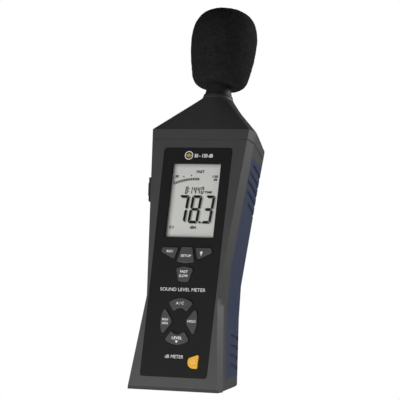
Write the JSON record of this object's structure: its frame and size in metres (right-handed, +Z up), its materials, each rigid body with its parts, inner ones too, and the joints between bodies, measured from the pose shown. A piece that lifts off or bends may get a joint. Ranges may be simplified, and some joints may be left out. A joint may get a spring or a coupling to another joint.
{
  "type": "sound level meter",
  "caption": "Handheld meter with a waisted two-shell case, rubber side grips, a display, push keys and a foam ball over a slim microphone.",
  "frame": {"origin": "centre of the tripod socket's mouth, on the flat of the back", "axes": "+Z up along the case towards the microphone, +Y out of the back, so the display faces -Y, +X to the right of someone reading it"},
  "size_m": [0.0758, 0.0512, 0.277],
  "materials": {
    "shell_plastic": "fine moulded texture, satin",
    "grip_rubber": "dark blue soft overmould, matte",
    "cover_rubber": "soft black rubber, matte",
    "sleeve_rubber": "black rubber, matte",
    "panel_film": "black film, very fine matte grain",
    "clear_lens": "clear, polished",
    "display_cell": "pale grey reflective liquid crystal",
    "white_plastic": "plain moulded",
    "circuit_board": "green solder mask",
    "chip_epoxy": "moulded epoxy",
    "screw_steel": "zinc plated",
    "battery_can": "printed wrap on a steel can",
    "wire_sleeve": "flexible insulation",
    "insert_brass": "turned",
    "socket_plastic": "moulded",
    "socket_metal": "nickel plated",
    "trimmer_plastic": "blue moulded",
    "mic_metal": "satin turned",
    "foam": "open-cell black foam",
    "key_rubber": "matte grey keys",
    "power_key_rubber": "matte amber key"
  },
  "bodies": {
    "case": {"front_shell": "shell_plastic", "rear_shell": "shell_plastic", "head_cap": "shell_plastic", "neck_ring": "shell_plastic", "mic_sleeve": "sleeve_rubber", "grip_left": "grip_rubber", "grip_right": "grip_rubber", "faceplate": "panel_film", "display_lens": "clear_lens", "lcd_glass": "display_cell", "lcd_frame": "white_plastic", "backlight": "white_plastic", "zebra_strip": "cover_rubber", "main_board": "circuit_board", "preamp_board": "circuit_board", "board_chips": "chip_epoxy", "key_switches": "chip_epoxy", "case_screws": "screw_steel", "head_screws": "screw_steel", "board_screws": "screw_steel", "battery": "battery_can", "battery_snap": "chip_epoxy", "battery_leads": "wire_sleeve", "signal_lead": "wire_sleeve", "mic_lead": "wire_sleeve", "tripod_insert": "insert_brass", "output_jack": "socket_plastic", "dc_jack": "socket_plastic", "usb_port": "socket_metal", "trimmer_body": "trimmer_plastic", "mic_tube": "mic_metal", "mic_capsule": "mic_metal", "mic_grid": "mic_metal", "preamp_shield": "socket_metal"},
    "battery_door_body": {"battery_door": "shell_plastic"},
    "key_backlight_body": {"key_backlight": "key_rubber"},
    "key_fast_slow_body": {"key_fast_slow": "key_rubber"},
    "key_hold_body": {"key_hold": "key_rubber"},
    "key_level_body": {"key_level": "key_rubber"},
    "key_max_min_body": {"key_max_min": "key_rubber"},
    "key_power_body": {"key_power": "power_key_rubber"},
    "key_record_body": {"key_record": "key_rubber"},
    "key_setup_body": {"key_setup": "key_rubber"},
    "key_weighting_body": {"key_weighting": "key_rubber"},
    "port_cover_body": {"port_cover": "cover_rubber"},
    "trimmer_rotor_body": {"trimmer_rotor": "insert_brass"},
    "windscreen_body": {"windscreen": "foam"}
  },
  "joints": [
    {"name": "record_press", "type": "slide", "parent": "case", "child": "key_record_body", "axis": [0, 1, 0], "range_m": [0, 0.0008], "stiffness_N_per_m": 300},
    {"name": "setup_press", "type": "slide", "parent": "case", "child": "key_setup_body", "axis": [0, 1, 0], "range_m": [0, 0.0008], "stiffness_N_per_m": 300},
    {"name": "backlight_press", "type": "slide", "parent": "case", "child": "key_backlight_body", "axis": [0, 1, 0], "range_m": [0, 0.0008], "stiffness_N_per_m": 300},
    {"name": "fast_slow_press", "type": "slide", "parent": "case", "child": "key_fast_slow_body", "axis": [0, 1, 0], "range_m": [0, 0.0008], "stiffness_N_per_m": 300},
    {"name": "weighting_press", "type": "slide", "parent": "case", "child": "key_weighting_body", "axis": [0, 1, 0], "range_m": [0, 0.0008], "stiffness_N_per_m": 300},
    {"name": "max_min_press", "type": "slide", "parent": "case", "child": "key_max_min_body", "axis": [0, 1, 0], "range_m": [0, 0.0008], "stiffness_N_per_m": 300},
    {"name": "hold_press", "type": "slide", "parent": "case", "child": "key_hold_body", "axis": [0, 1, 0], "range_m": [0, 0.0008], "stiffness_N_per_m": 300},
    {"name": "level_press", "type": "slide", "parent": "case", "child": "key_level_body", "axis": [0, 1, 0], "range_m": [0, 0.0008], "stiffness_N_per_m": 300},
    {"name": "power_press", "type": "slide", "parent": "case", "child": "key_power_body", "axis": [0, 1, 0], "range_m": [0, 0.0008], "stiffness_N_per_m": 300},
    {"name": "windscreen_pull", "type": "slide", "parent": "case", "child": "windscreen_body", "axis": [0, 0, 1], "range_m": [0, 0.045]},
    {"name": "battery_door_open", "type": "hinge", "parent": "case", "child": "battery_door_body", "pos_m": [0, -0.0013, -0.0819], "axis": [-1, 0, 0], "range_deg": [0, 75]},
    {"name": "port_cover_swing", "type": "hinge", "parent": "case", "child": "port_cover_body", "pos_m": [-0.03486, -0.0326, 0.0376], "axis": [0.0833, 0, -0.9965], "range_deg": [0, 100]},
    {"name": "trimmer_turn", "type": "hinge", "parent": "case", "child": "trimmer_rotor_body", "pos_m": [-0.026, -0.036, -0.005], "axis": [-1, 0, 0], "range_deg": [-135, 135]}
  ]
}
